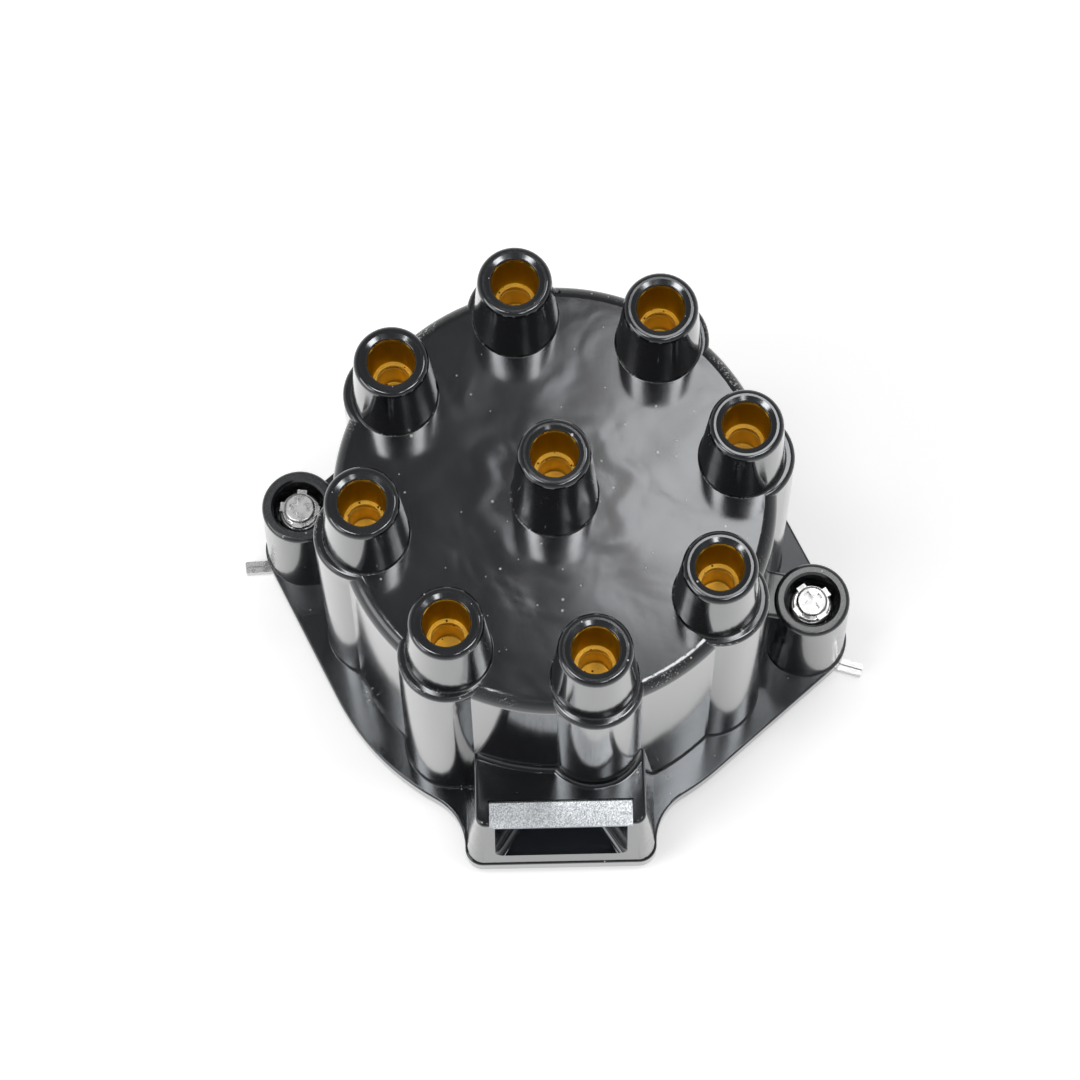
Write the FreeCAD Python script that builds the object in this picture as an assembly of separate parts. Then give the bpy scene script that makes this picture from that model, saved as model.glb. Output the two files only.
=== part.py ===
import FreeCAD, Part
import math
import os

# An eight-tower ignition distributor cap with a sliding adjustment window.
# Millimetres, +Z up. The rotor axis is Z, the lower edge of the register ring
# is at z = 0, and the window faces -Y. Towers are numbered from the one beside
# the window, turning towards +X.

# Register ring and flange
register_depth = 3.5
register_outer_r = 46.0
register_gap_half_deg = 13.5
key_notch_width = 6.0
flange_thickness = 4.5
flange_r = 55.2
flange_edge_round = 0.5
ear_r = 9.6
foot_round = 0.4
foot_inset = 0.1

# Drum
drum_height = 77.6
drum_top_r = 47.1
drum_base_r = 47.9
drum_edge_round = 3.0
seam_deg = 33.1
roof_thickness = 4.0
wall_base_thickness = 4.4
wall_top_thickness = 4.0
cavity_corner_round = 2.0

# Columns that carry the terminals down the wall
column_offset_r = 41.4
column_top_r = 10.35
column_base_r = 11.0
column_edge_round = 1.0

# Towers
tower_count = 8
first_tower_deg = 10.6
tower_circle_r = 40.5
tower_height = 22.4
tower_base_r = 9.15
tower_rim_r = 7.8
centre_tower_height = 29.5
centre_tower_base_r = 9.25
centre_tower_rim_r = 7.53
mouth_r = 5.05
rim_outer_round = 1.1
rim_inner_round = 0.4
rim_crown_width = 1.5
rim_dish = 0.35
tower_foot_round = 0.3
tower_root = 2.0

# Brass terminals
insert_gap = 0.02
insert_top_below_rim = 1.9
socket_mouth_r = 5.1
socket_taper_r = 4.35
step_below_rim = 13.5
socket_floor_round = 0.4
snap_groove_r = 4.0
snap_groove_width = 1.1
snap_lip_height = 0.9
lead_bore_r = 3.55
floor_below_rim = 23.8
floor_thickness = 1.2
insert_outer_r = 5.75
insert_lower_r = 4.6
stem_r = 2.6
stem_tip_round = 0.5
electrode_below_roof = 19.6
electrode_bare_length = 10.0
electrode_face_r = 38.4
inner_boss_r = 5.2
inner_boss_round = 0.6

# Centre terminal and its sprung brush
centre_boss_r = 7.6
centre_boss_height = 8.6
centre_boss_round = 0.8
centre_boss_flare = 0.6
brush_guide_outer_r = 3.7
brush_guide_end_gap = 0.8
brush_r = 2.5
brush_clearance = 0.1
brush_length = 13.0
brush_out = 6.0
brush_tip_round = 1.6
brush_top_round = 0.3
brush_travel = 3.0
brush_spring_wire_r = 0.25
brush_spring_mean_r = 1.85
brush_spring_turns = 6

# Latch posts
latch_circle_r = 57.64
latch_deg = -12.0
post_height = 33.0
post_r = 8.3
post_base_r = 9.1
post_foot_round = 0.3
post_edge_round = 0.9
post_well_r = 5.8
post_well_mouth_round = 0.5
post_well_floor = 6.0
latch_clearance = 0.2
web_width = 10.4
web_below_post = 1.3
web_edge_round = 0.8
web_root_depth = 2.0

# Latches
shank_r = 2.4
head_below_rim = 1.2
head_height = 1.7
head_disc_r = 3.4
head_edge_round = 0.5
head_arm_r = 4.4
head_arm_width = 2.1
head_arm_height = 1.0
driver_slot_width = 1.3
driver_slot_length = 4.6
driver_slot_depth = 1.2
washer_r = 4.0
washer_thickness = 0.7
washer_edge_round = 0.15
washer_clearance = 0.1
latch_spring_wire_r = 0.5
latch_spring_mean_r = 4.15
latch_spring_turns = 7
spring_end_clearance = 0.06
hook_thickness = 2.2
hook_gap = 0.3
hook_eye_r = 4.3
hook_leg_width = 1.2
hook_leg_gap = 0.3
hook_reach = 14.6
right_leg_offset = -2.4
left_leg_offset = 2.4
hook_tip_round = 0.4
rivet_r = 1.9
rivet_head_r = 3.0
rivet_head_height = 0.5
rivet_head_round = 0.2
rivet_gap = 0.03
right_hook_deg = -17.5
left_hook_deg = 183.0
right_head_deg = 33.0
left_head_deg = -8.0

# Window boss
boss_height = 28.0
boss_base_half = 21.5
boss_top_half = 18.6
boss_base_front = 63.0
boss_top_front = 60.3
boss_base_round = 4.0
boss_top_round = 2.2
boss_top_edge_round = 0.7
boss_flare_r = 12.5
boss_flare_spare_deg = 1.0
boss_root_depth = 6.0
boss_back_round = 1.4

# Window, its door and the passage behind
window_sill_height = 5.6
window_base_half = 13.5
window_top_half = 14.5
window_splay = 2.9
window_corner_round = 2.5
door_half_width = 15.65
door_thickness = 1.0
door_clearance = 0.25
door_back = 54.9
door_lip_length = 6.1
door_bend_r = 0.15
door_outer_round = 0.6
door_lip_clearance = 0.2
door_travel = 17.0
door_below_sill = 1.8
passage_half_width = 10.8
passage_sill_rise = 1.0
passage_height = 18.0
passage_corner_round = 2.0
passage_overrun = 8.0

# Levels and radii worked out from the sizes above
z_flange = register_depth
z_flange_top = z_flange + flange_thickness
z_drum = z_flange_top + drum_height
z_roof = z_drum - roof_thickness
z_rim = z_drum + tower_height
z_centre_rim = z_drum + centre_tower_height
z_post = z_flange_top + post_height
z_well = z_flange_top + post_well_floor
z_boss = z_flange_top + boss_height
z_sill = z_flange_top + window_sill_height
z_electrode = z_roof - electrode_below_roof
z_bare = z_electrode + electrode_bare_length
cavity_base_r = drum_base_r - wall_base_thickness
cavity_top_r = drum_top_r - wall_top_thickness

# How far a cut reaches past the face it opens, and a joined shape into its neighbour
past = 2.0
buried = 1.0

# How far apart two edges may lie and still be joined as one, more where a column
# leans on the drum, and how near a face a test point may lie and count as inside
join_tolerance = 0.0001
column_join_tolerance = 0.001
test_tolerance = 0.01


def unit(dx, dy):
    """Direction of a plane vector, with its length."""
    size = math.hypot(dx, dy)
    return dx / size, dy / size, size


def corner_wire(corners, place):
    """Closed wire through (a, b, round) corners, laid in space by place(a, b)."""
    starts = []
    ends = []
    middles = []
    for index, (x, y, radius) in enumerate(corners):
        last = corners[index - 1]
        after = corners[(index + 1) % len(corners)]
        if radius <= 0:
            starts.append((x, y))
            ends.append((x, y))
            middles.append(None)
            continue
        ux, uy, _ = unit(last[0] - x, last[1] - y)
        vx, vy, _ = unit(after[0] - x, after[1] - y)
        half = math.acos(ux * vx + uy * vy) / 2
        cut = radius / math.tan(half)
        bx, by, _ = unit(ux + vx, uy + vy)
        reach = radius / math.sin(half) - radius
        starts.append((x + ux * cut, y + uy * cut))
        ends.append((x + vx * cut, y + vy * cut))
        middles.append((x + bx * reach, y + by * reach))
    edges = []
    for index in range(len(corners)):
        if middles[index]:
            points = (starts[index], middles[index], ends[index])
            edges.append(Part.Arc(*[place(*point) for point in points]).toShape())
        a = place(*ends[index])
        b = place(*starts[(index + 1) % len(corners)])
        if a.distanceToPoint(b) > 1e-6:
            edges.append(Part.LineSegment(a, b).toShape())
    return Part.Wire(edges)


def lathe(corners, x=0.0, y=0.0):
    """Solid turned about Z from (radius, height, round) corners, then moved."""
    wire = corner_wire(corners, lambda r, z: FreeCAD.Vector(r, 0, z))
    turned = Part.Face(wire).revolve(FreeCAD.Vector(), FreeCAD.Vector(0, 0, 1), 360)
    turned.translate(FreeCAD.Vector(x, y, 0))
    return turned


def slab(corners, low, high):
    """Upright plate with a rounded outline, between two heights."""
    wire = corner_wire(corners, lambda a, b: FreeCAD.Vector(a, b, low))
    return Part.Face(wire).extrude(FreeCAD.Vector(0, 0, high - low))


def joined(shapes):
    """Several solids as one moulding."""
    return shapes[0].fuse(shapes[1:], join_tolerance).removeSplitter()


def turned_about(shape, degrees, x, y):
    """Copy of a shape turned about the upright axis through (x, y)."""
    copy = shape.copy()
    copy.rotate(FreeCAD.Vector(x, y, 0), FreeCAD.Vector(0, 0, 1), degrees)
    return copy


def tower_degrees(index):
    """Direction of a tower, counted anticlockwise from +X."""
    return first_tower_deg - 90 + index * 360 / tower_count


def polar(radius, degrees):
    """Plane point at a radius and direction."""
    angle = math.radians(degrees)
    return radius * math.cos(angle), radius * math.sin(angle)


def latch_places():
    """Name, axis point, hook and head directions and leg offset of both latches."""
    right = polar(latch_circle_r, latch_deg)
    left = polar(latch_circle_r, latch_deg + 180)
    return [
        ("right", right, right_hook_deg, right_head_deg, right_leg_offset),
        ("left", left, left_hook_deg, left_head_deg, left_leg_offset),
    ]


def arc_between(centre, radius, start_deg, end_deg):
    """Arc edge at the flange's lower face, from one direction to another."""
    points = []
    for degrees in (start_deg, (start_deg + end_deg) / 2, end_deg):
        dx, dy = polar(radius, degrees)
        points.append(FreeCAD.Vector(centre[0] + dx, centre[1] + dy, z_flange))
    return Part.Arc(*points).toShape()


def flange_outline():
    """Outline: round rim, two ears on tangents, and the flared window boss."""
    # Direction, from an ear's own, at which its tangent leaves the rim
    lean = math.degrees(math.acos((flange_r - ear_r) / latch_circle_r))
    # Hollow curve from the rim into the boss side, which ends before that tangent
    room = math.cos(math.radians(latch_deg - lean - boss_flare_spare_deg))
    flare_r = min(boss_flare_r, (flange_r * room - boss_base_half) / (1 - room))
    flare_x = boss_base_half + flare_r
    flare_y = -math.sqrt((flange_r + flare_r) ** 2 - flare_x ** 2)
    flare_deg = math.degrees(math.atan2(flare_y, flare_x))
    corner = boss_base_round
    corner_x = boss_base_half - corner
    corner_y = -boss_base_front + corner
    left_deg = latch_deg + 180
    arcs = [
        arc_between((corner_x, corner_y), corner, -90, 0),
        arc_between((flare_x, flare_y), flare_r, 180, 180 + flare_deg),
        arc_between((0, 0), flange_r, flare_deg, latch_deg - lean),
        arc_between(polar(latch_circle_r, latch_deg), ear_r, latch_deg - lean, latch_deg + lean),
        arc_between((0, 0), flange_r, latch_deg + lean, left_deg - lean),
        arc_between(polar(latch_circle_r, left_deg), ear_r, left_deg - lean, left_deg + lean),
        arc_between((0, 0), flange_r, left_deg + lean, 180 - flare_deg),
        arc_between((-flare_x, flare_y), flare_r, -flare_deg, 0),
        arc_between((-corner_x, corner_y), corner, 180, 270),
    ]
    edges = []
    for index, arc in enumerate(arcs):
        edges.append(arc)
        start = arc.valueAt(arc.LastParameter)
        following = arcs[(index + 1) % len(arcs)]
        end = following.valueAt(following.FirstParameter)
        if start.distanceToPoint(end) > 1e-6:
            edges.append(Part.LineSegment(start, end).toShape())
    return Part.Wire(edges)


def edges_at_height(shape, height):
    """Edges of a shape that lie wholly at one height."""
    found = []
    for edge in shape.Edges:
        box = edge.BoundBox
        if abs(box.ZMin - height) < 1e-4 and abs(box.ZMax - height) < 1e-4:
            found.append(edge)
    return found


def make_flange():
    """Flat flange with its upper edge rounded."""
    plate = Part.Face(flange_outline()).extrude(FreeCAD.Vector(0, 0, flange_thickness))
    return plate.makeFillet(flange_edge_round, edges_at_height(plate, z_flange_top))


def make_drum():
    """Outer drum, solid, with the foot fillet and the rounded top edge."""
    foot = drum_base_r + foot_round + foot_inset
    drum = lathe([
        (0, z_flange, 0),
        (foot, z_flange, 0),
        (foot, z_flange_top, 0),
        (drum_base_r, z_flange_top, foot_round),
        (drum_top_r, z_drum, drum_edge_round),
        (0, z_drum, 0),
    ])
    return turned_about(drum, seam_deg, 0, 0)


def make_column(degrees):
    """Half-round column that runs down the wall below one tower."""
    x, y = polar(column_offset_r, degrees)
    foot = column_base_r + foot_round + foot_inset
    return lathe([
        (0, z_flange, 0),
        (foot, z_flange, 0),
        (foot, z_flange_top, 0),
        (column_base_r, z_flange_top, foot_round),
        (column_top_r, z_drum, column_edge_round),
        (0, z_drum, 0),
    ], x, y)


def make_tower(base_r, rim_r, rim_z, x, y):
    """Hollow tapered tower with a rounded, dished rim and a small foot fillet."""
    foot = base_r + tower_foot_round + foot_inset
    crown_r = rim_r - rim_crown_width
    return lathe([
        (mouth_r, z_drum - tower_root, 0),
        (foot, z_drum - tower_root, 0),
        (foot, z_drum, 0),
        (base_r, z_drum, tower_foot_round),
        (rim_r, rim_z, rim_outer_round),
        (crown_r, rim_z, 0),
        (mouth_r, rim_z - rim_dish, rim_inner_round),
    ], x, y)


def make_post(x, y):
    """Tapered latch post on an ear of the flange."""
    foot = post_base_r + post_foot_round + foot_inset
    return lathe([
        (0, z_flange, 0),
        (foot, z_flange, 0),
        (foot, z_flange_top, 0),
        (post_base_r, z_flange_top, post_foot_round),
        (post_r, z_post, post_edge_round),
        (0, z_post, 0),
    ], x, y)


def make_web(degrees):
    """Web that ties a post to the drum, with its upper edges rounded."""
    half = web_width / 2
    top = z_post - web_below_post
    corners = [
        (-half, z_flange, 0),
        (half, z_flange, 0),
        (half, top, web_edge_round),
        (-half, top, web_edge_round),
    ]
    start = drum_base_r - web_root_depth
    wire = corner_wire(corners, lambda a, b: FreeCAD.Vector(start, a, b))
    web = Part.Face(wire).extrude(FreeCAD.Vector(latch_circle_r - start, 0, 0))
    return turned_about(web, degrees, 0, 0)


def boss_section(half, front, corner, height):
    """One level of the window boss, open to the drum behind it."""
    back = boss_root_depth - drum_top_r
    corners = [
        (-half, back, 0),
        (-half, -front, corner),
        (half, -front, corner),
        (half, back, 0),
    ]
    return corner_wire(corners, lambda a, b: FreeCAD.Vector(a, b, height))


def make_window_boss():
    """Tapered block in front of the drum that carries the window."""
    low = boss_section(boss_base_half, boss_base_front, boss_base_round, z_flange)
    high = boss_section(boss_top_half, boss_top_front, boss_top_round, z_boss)
    block = Part.makeLoft([low, high], True, True)
    return block.makeFillet(boss_top_edge_round, edges_at_height(block, z_boss))


def wall_radius(base_r, top_r, height):
    """Radius of the tapered drum wall, or of a column, at a height."""
    share = (height - z_flange_top) / drum_height
    return base_r + (top_r - base_r) * share


def make_back_fillet(wall_r, x, y):
    """Ring with a hollow edge, laid on the window boss against a round wall."""
    inner = wall_r - foot_inset
    return lathe([
        (0, z_boss - buried, 0),
        (inner + boss_back_round + foot_inset, z_boss - buried, 0),
        (inner + boss_back_round + foot_inset, z_boss, 0),
        (inner, z_boss, boss_back_round),
        (inner, z_boss + boss_back_round + foot_inset, 0),
        (0, z_boss + boss_back_round + foot_inset, 0),
    ], x, y)


def make_boss_back():
    """Fillets between the boss's top, the drum and the first column."""
    drum_r = wall_radius(drum_base_r, drum_top_r, z_boss)
    column_r = wall_radius(column_base_r, column_top_r, z_boss)
    drum_ring = turned_about(make_back_fillet(drum_r, 0, 0), seam_deg, 0, 0)
    column_ring = make_back_fillet(column_r, *polar(column_offset_r, tower_degrees(0)))
    half = boss_top_half - boss_top_edge_round
    room = Part.makeBox(2 * half, boss_top_front - tower_circle_r, z_drum)
    room.translate(FreeCAD.Vector(-half, -boss_top_front, 0))
    return [drum_ring.common(room), column_ring.common(room)]


def make_cavity():
    """Space for the rotor and the breaker gear, open below."""
    space = lathe([
        (0, -past, 0),
        (cavity_base_r, -past, 0),
        (cavity_top_r, z_roof, cavity_corner_round),
        (0, z_roof, 0),
    ])
    return turned_about(space, seam_deg, 0, 0)


def make_register():
    """Ring below the flange that centres the cap, cut away for hooks and key."""
    ring = lathe([
        (cavity_base_r, 0, 0),
        (register_outer_r, 0, 0),
        (register_outer_r, z_flange + buried, 0),
        (cavity_base_r, z_flange + buried, 0),
    ])
    reach = register_outer_r + past
    spread = reach * math.tan(math.radians(register_gap_half_deg))
    wedge = [(0, 0, 0), (reach, -spread, 0), (reach, spread, 0)]
    gap = slab(wedge, -past, z_flange)
    for degrees in (latch_deg, latch_deg + 180):
        ring = ring.cut(turned_about(gap, degrees, 0, 0))
    notch = Part.makeBox(key_notch_width, reach, z_flange + past)
    notch.translate(FreeCAD.Vector(-key_notch_width / 2, 0, -past))
    return ring.cut(notch)


def insert_outside(rim_z, grow):
    """Outer corners of a terminal's socket, from its top down to its stem."""
    top = rim_z - insert_top_below_rim
    shoulder = rim_z - step_below_rim - floor_thickness
    base = rim_z - floor_below_rim - floor_thickness
    return [
        (insert_outer_r + grow, top + grow, 0),
        (insert_outer_r + grow, shoulder - grow, 0),
        (insert_lower_r + grow, shoulder - grow, 0),
        (insert_lower_r + grow, base - grow, 0),
    ]


def socket_inside(rim_z):
    """Inner corners of a terminal's socket, from its axis out to its mouth."""
    step = rim_z - step_below_rim
    lip = step - snap_lip_height
    groove = lip - snap_groove_width
    return [
        (0, rim_z - floor_below_rim, 0),
        (lead_bore_r, rim_z - floor_below_rim, socket_floor_round),
        (lead_bore_r, groove, 0),
        (snap_groove_r, groove, 0),
        (snap_groove_r, lip, 0),
        (lead_bore_r, lip, 0),
        (lead_bore_r, step, 0),
        (socket_taper_r, step, 0),
        (socket_mouth_r, rim_z - insert_top_below_rim, 0),
    ]


def make_terminal(x, y):
    """Brass socket and the stem whose bare end faces the rotor."""
    corners = socket_inside(z_rim) + insert_outside(z_rim, 0) + [
        (stem_r, z_rim - floor_below_rim - floor_thickness, 0),
        (stem_r, z_electrode, stem_tip_round),
        (0, z_electrode, 0),
    ]
    turned = lathe(corners, x, y)
    sweep = Part.makeCylinder(electrode_face_r, electrode_bare_length + past)
    sweep.translate(FreeCAD.Vector(0, 0, z_electrode - past))
    return turned.cut(sweep)


def make_terminal_seat(x, y):
    """Hole that the moulding leaves round one outer terminal."""
    base = z_rim - floor_below_rim - floor_thickness
    return lathe(
        [(0, z_rim - insert_top_below_rim + insert_gap, 0)]
        + insert_outside(z_rim, insert_gap)
        + [
            (stem_r + insert_gap, base - insert_gap, 0),
            (stem_r + insert_gap, z_bare - past, 0),
            (0, z_bare - past, 0),
        ],
        x, y,
    )


def brush_levels():
    """Heights of the centre boss's end, the guide's end and the brush's end."""
    boss_end = z_roof - centre_boss_height
    return boss_end, boss_end + brush_guide_end_gap, boss_end - brush_out


def make_centre_terminal():
    """Brass socket whose lower end is the tube that guides the brush."""
    base = z_centre_rim - floor_below_rim - floor_thickness
    guide_end = brush_levels()[1]
    guide_r = brush_r + brush_clearance
    corners = socket_inside(z_centre_rim) + insert_outside(z_centre_rim, 0) + [
        (brush_guide_outer_r, base, 0),
        (brush_guide_outer_r, guide_end, 0),
        (guide_r, guide_end, 0),
        (guide_r, base, 0),
        (0, base, 0),
    ]
    return lathe(corners)


def make_centre_seat():
    """Hole that the moulding leaves round the centre terminal and brush."""
    base = z_centre_rim - floor_below_rim - floor_thickness
    boss_end, guide_end, _ = brush_levels()
    tube_r = brush_guide_outer_r + insert_gap
    hole_r = brush_r + brush_clearance
    return lathe(
        [(0, z_centre_rim - insert_top_below_rim + insert_gap, 0)]
        + insert_outside(z_centre_rim, insert_gap)
        + [
            (tube_r, base - insert_gap, 0),
            (tube_r, guide_end - insert_gap, 0),
            (hole_r, guide_end - insert_gap, 0),
            (hole_r, boss_end - past, 0),
            (0, boss_end - past, 0),
        ]
    )


def make_inner_bosses():
    """Bosses under the roof round the stems and the brush."""
    bosses = []
    for index in range(tower_count):
        x, y = polar(tower_circle_r, tower_degrees(index))
        bosses.append(lathe([
            (0, z_bare, 0),
            (inner_boss_r, z_bare, inner_boss_round),
            (inner_boss_r, z_roof + buried, 0),
            (0, z_roof + buried, 0),
        ], x, y))
    boss_end = brush_levels()[0]
    bosses.append(lathe([
        (0, boss_end, 0),
        (centre_boss_r, boss_end, centre_boss_round),
        (centre_boss_r + centre_boss_flare, z_roof + buried, 0),
        (0, z_roof + buried, 0),
    ]))
    return bosses


def make_post_well(x, y):
    """Stepped hole through a post for the latch and its spring."""
    hole_r = shank_r + latch_clearance
    mouth = post_well_mouth_round
    return lathe([
        (0, z_flange - past, 0),
        (hole_r, z_flange - past, 0),
        (hole_r, z_well, 0),
        (post_well_r, z_well, 0),
        (post_well_r, z_post - mouth, 0),
        (post_well_r + mouth, z_post, 0),
        (post_well_r + mouth, z_post + past, 0),
        (0, z_post + past, 0),
    ], x, y)


def make_door_slot():
    """Guide in the window boss for the door's panel."""
    half = door_half_width + door_clearance
    low = z_sill - door_below_sill - door_clearance
    slot = Part.makeBox(2 * half, door_thickness + 2 * door_clearance, z_boss + past - low)
    front = -door_back - door_thickness - door_clearance
    slot.translate(FreeCAD.Vector(-half, front, low))
    return slot


def window_section(y):
    """Outline of the window at one depth; its sides close in towards the door."""
    depth = boss_top_front - door_back - door_thickness
    inset = window_splay * (y + boss_top_front) / depth
    slope = (window_top_half - window_base_half) / (z_boss - z_sill)
    top = z_boss + past
    base_half = window_base_half - inset
    top_half = base_half + slope * (top - z_sill)
    corners = [
        (-base_half, z_sill, window_corner_round),
        (base_half, z_sill, window_corner_round),
        (top_half, top, 0),
        (-top_half, top, 0),
    ]
    return corner_wire(corners, lambda a, b: FreeCAD.Vector(a, y, b))


def make_window():
    """Splayed opening in front of the door, open at the top."""
    front = window_section(-boss_base_front - past)
    back = window_section(-door_back - door_thickness / 2)
    return Part.makeLoft([front, back], True, True)


def make_passage():
    """Opening behind the door, through the drum wall to the breaker gear."""
    low = z_sill + passage_sill_rise
    high = low + passage_height
    half = passage_half_width
    corners = [
        (-half, low, passage_corner_round),
        (half, low, passage_corner_round),
        (half, high, passage_corner_round),
        (-half, high, passage_corner_round),
    ]
    start = -door_back - door_thickness / 2
    length = door_back + door_thickness / 2 - cavity_top_r + passage_overrun
    wire = corner_wire(corners, lambda a, b: FreeCAD.Vector(a, start, b))
    return Part.Face(wire).extrude(FreeCAD.Vector(0, length, 0))


def make_upper_shell():
    """Drum with its columns and all towers, solid inside."""
    columns = []
    towers = [make_tower(centre_tower_base_r, centre_tower_rim_r, z_centre_rim, 0, 0)]
    for index in range(tower_count):
        degrees = tower_degrees(index)
        columns.append(make_column(degrees))
        towers.append(make_tower(tower_base_r, tower_rim_r, z_rim, *polar(tower_circle_r, degrees)))
    return make_drum().fuse(columns, column_join_tolerance).fuse(towers, join_tolerance)


def make_lower_shell():
    """Flange with the window boss, the latch posts and their webs."""
    raised = []
    for _, (x, y), _, _, _ in latch_places():
        raised.append(make_post(x, y))
        raised.append(make_web(math.degrees(math.atan2(y, x))))
    plate = make_flange().fuse([make_window_boss()], join_tolerance)
    return plate.fuse(raised, join_tolerance)


def make_holes():
    """Seats of the terminals, wells of the latches, and the window."""
    holes = [make_centre_seat(), make_door_slot(), make_window(), make_passage()]
    for index in range(tower_count):
        holes.append(make_terminal_seat(*polar(tower_circle_r, tower_degrees(index))))
    for _, (x, y), _, _, _ in latch_places():
        holes.append(make_post_well(x, y))
    return holes


def make_cap_body():
    """The black moulding in one piece, joined in groups that the boolean can hold."""
    shell = make_upper_shell().fuse([make_lower_shell()], join_tolerance)
    shell = joined([shell] + make_boss_back())
    shell = shell.cut(make_cavity())
    shell = joined([shell, make_register()] + make_inner_bosses())
    body = shell.cut(make_holes()).removeSplitter()
    require_whole(body)
    return body


def require_whole(body):
    """Stop the build if the joining has lost a tower, a column, a post or the roof."""
    wall_r = (insert_outer_r + tower_rim_r) / 2
    half_way = z_drum + tower_height / 2
    points = [(wall_r, 0, half_way), (tower_circle_r / 2, 0, (z_roof + z_drum) / 2)]
    for index in range(tower_count):
        x, y = polar(tower_circle_r, tower_degrees(index))
        points.append((x + wall_r, y, half_way))
        x, y = polar(column_offset_r + column_top_r - buried, tower_degrees(index))
        points.append((x, y, (z_flange_top + z_drum) / 2))
    for _, (x, y), _, _, _ in latch_places():
        points.append((x, y + (post_well_r + post_r) / 2, (z_well + z_post) / 2))
    for x, y, z in points:
        if not body.isInside(FreeCAD.Vector(x, y, z), test_tolerance, False):
            raise RuntimeError(f"the moulding is missing at {x:.1f}, {y:.1f}, {z:.1f}")


def make_coil(wire_r, mean_r, low, high, turns, x, y):
    """Coil between two heights, wound from tilted half turns that meet smoothly."""
    bottom = low + wire_r + spring_end_clearance
    rise = (high - low - 2 * (wire_r + spring_end_clearance)) / (2 * turns)
    halves = []
    for index in range(2 * turns):
        side = 1 if index % 2 == 0 else -1
        start = FreeCAD.Vector(side * mean_r, 0, bottom + index * rise)
        middle = FreeCAD.Vector(0, 0, bottom + (index + 0.5) * rise)
        axis = FreeCAD.Vector(side * rise / 2, 0, mean_r)
        ring = Part.Circle(start, FreeCAD.Vector(0, 1, 0), wire_r)
        section = Part.Face(Part.Wire([ring.toShape()]))
        halves.append(section.revolve(middle, axis, 180))
    coil = joined(halves)
    coil.translate(FreeCAD.Vector(x, y, 0))
    return coil


def make_brush():
    """Carbon brush with a rounded tip."""
    low = brush_levels()[2]
    return lathe([
        (0, low, 0),
        (brush_r, low, brush_tip_round),
        (brush_r, low + brush_length, brush_top_round),
        (0, low + brush_length, 0),
    ])


def make_brush_spring():
    """Small coil that pushes the brush down."""
    low = brush_levels()[2] + brush_length
    high = z_centre_rim - floor_below_rim - floor_thickness
    return make_coil(
        brush_spring_wire_r, brush_spring_mean_r, low, high, brush_spring_turns, 0, 0
    )


def latch_levels():
    """Heights of the head's top, the head's seat and the hook's top."""
    head_top = z_post - head_below_rim
    return head_top, head_top - head_height, z_flange - hook_gap


def make_latch_screw(x, y, degrees):
    """Shank with a cross-shaped driver head and a riveted lower end."""
    head_top, seat, hook_top = latch_levels()
    hook_low = hook_top - hook_thickness
    rivet_low = hook_low - rivet_head_height
    dome = lathe([
        (0, rivet_low, 0),
        (rivet_head_r, rivet_low, rivet_head_round),
        (rivet_head_r, hook_low - rivet_gap, 0),
        (rivet_r, hook_low - rivet_gap, 0),
        (rivet_r, hook_top + rivet_gap, 0),
        (shank_r, hook_top + rivet_gap, 0),
        (shank_r, seat, 0),
        (head_disc_r, seat, 0),
        (head_disc_r, head_top, head_edge_round),
        (0, head_top, 0),
    ])
    pieces = [dome]
    for turn in (0, 90):
        arm = Part.makeBox(2 * head_arm_r, head_arm_width, head_arm_height)
        arm.translate(FreeCAD.Vector(-head_arm_r, -head_arm_width / 2, seat))
        pieces.append(turned_about(arm, turn, 0, 0))
    screw = joined(pieces)
    for turn in (0, 90):
        slot = Part.makeBox(driver_slot_length, driver_slot_width, driver_slot_depth + past)
        slot.translate(FreeCAD.Vector(
            -driver_slot_length / 2, -driver_slot_width / 2, head_top - driver_slot_depth
        ))
        screw = screw.cut(turned_about(slot, turn, 0, 0))
    screw.translate(FreeCAD.Vector(x, y, 0))
    return turned_about(screw, degrees, x, y)


def make_latch_washer(x, y):
    """Flat washer between the spring and the head."""
    seat = latch_levels()[1]
    bore = shank_r + washer_clearance
    low = seat - washer_thickness - rivet_gap
    return lathe([
        (bore, low, 0),
        (washer_r, low, washer_edge_round),
        (washer_r, low + washer_thickness, washer_edge_round),
        (bore, low + washer_thickness, 0),
    ], x, y)


def make_latch_spring(x, y):
    """Coil that lifts the latch in its post."""
    high = latch_levels()[1] - washer_thickness - rivet_gap
    return make_coil(
        latch_spring_wire_r, latch_spring_mean_r, z_well, high, latch_spring_turns, x, y
    )


def make_latch_hook(x, y, degrees, offset):
    """Strip folded round the shank's end, its two legs side by side and to one side."""
    high = latch_levels()[2]
    low = high - hook_thickness
    half = hook_leg_width + hook_leg_gap / 2
    eye = Part.makeCylinder(hook_eye_r, hook_thickness)
    eye.translate(FreeCAD.Vector(0, 0, low))
    legs = slab([
        (0, offset - half, 0),
        (hook_reach, offset - half, hook_tip_round),
        (hook_reach, offset + half, hook_tip_round),
        (0, offset + half, 0),
    ], low, high)
    hook = joined([eye, legs])
    bore = Part.makeCylinder(rivet_r + rivet_gap, hook_thickness + 2 * past)
    bore.translate(FreeCAD.Vector(0, 0, low - past))
    split = Part.makeBox(hook_reach, hook_leg_gap, hook_thickness + 2 * past)
    split.translate(FreeCAD.Vector(rivet_r, offset - hook_leg_gap / 2, low - past))
    hook = hook.cut([bore, split])
    hook.translate(FreeCAD.Vector(x, y, 0))
    return turned_about(hook, degrees, x, y)


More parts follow.
